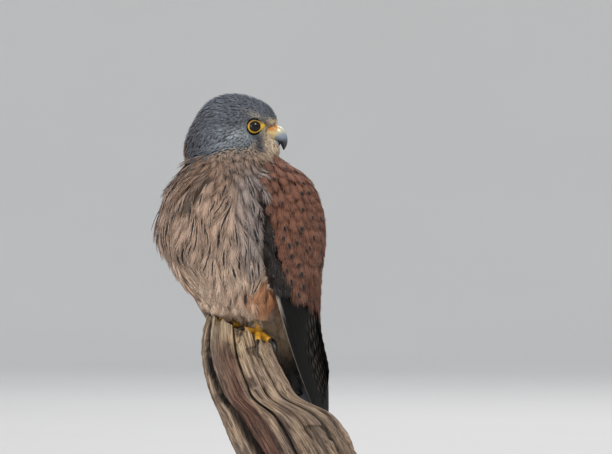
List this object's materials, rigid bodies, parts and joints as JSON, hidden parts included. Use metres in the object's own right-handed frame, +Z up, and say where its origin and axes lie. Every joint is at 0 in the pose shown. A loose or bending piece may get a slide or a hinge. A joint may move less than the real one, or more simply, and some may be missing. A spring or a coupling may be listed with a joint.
{
  "type": "perched common kestrel, adult male",
  "caption": "Life-size male common kestrel perched on a broken branch, fluffed up and looking over its left shoulder, on a plain round stand.",
  "frame": {"origin": "under the middle of the whole model, on the surface the stand rests on", "axes": "+Z up; the bird's breast faces 40 degrees to the left of -Y, and its bill points along +X, 8 degrees towards -Y"},
  "size_m": [0.176, 0.176, 0.328],
  "materials": {
    "grey_plumage": "soft, matte",
    "buff_plumage": "soft, matte",
    "chestnut_plumage": "soft, matte",
    "dark_plumage": "smooth, slightly satin",
    "tail_plumage": "smooth, slightly satin",
    "yellow_skin": "dry, scaly, satin",
    "eye": "wet, glossy",
    "horn": "smooth horn, satin",
    "claw": "smooth horn, satin",
    "weathered_wood": "dry, grey, cracked",
    "stand_metal": "plain, satin"
  },
  "bodies": {
    "root": {"bill_lower": "horn", "bill_upper": "horn", "cere": "yellow_skin", "claw_left_1": "claw", "claw_left_2": "claw", "claw_left_3": "claw", "claw_left_4": "claw", "claw_right_1": "claw", "claw_right_2": "claw", "claw_right_3": "claw", "claw_right_4": "claw", "eye_left": "eye", "eye_right": "eye", "flight_feathers_left": "dark_plumage", "flight_feathers_right": "dark_plumage", "foot_left": "yellow_skin", "foot_right": "yellow_skin", "head": "grey_plumage", "neck": "buff_plumage", "perch": "weathered_wood", "stand_base": "stand_metal", "stand_rod_1": "stand_metal", "stand_rod_2": "stand_metal", "tail": "tail_plumage", "thigh_left": "buff_plumage", "thigh_right": "buff_plumage", "trunk": "buff_plumage", "wing_left": "chestnut_plumage", "wing_right": "chestnut_plumage"}
  },
  "joints": []
}
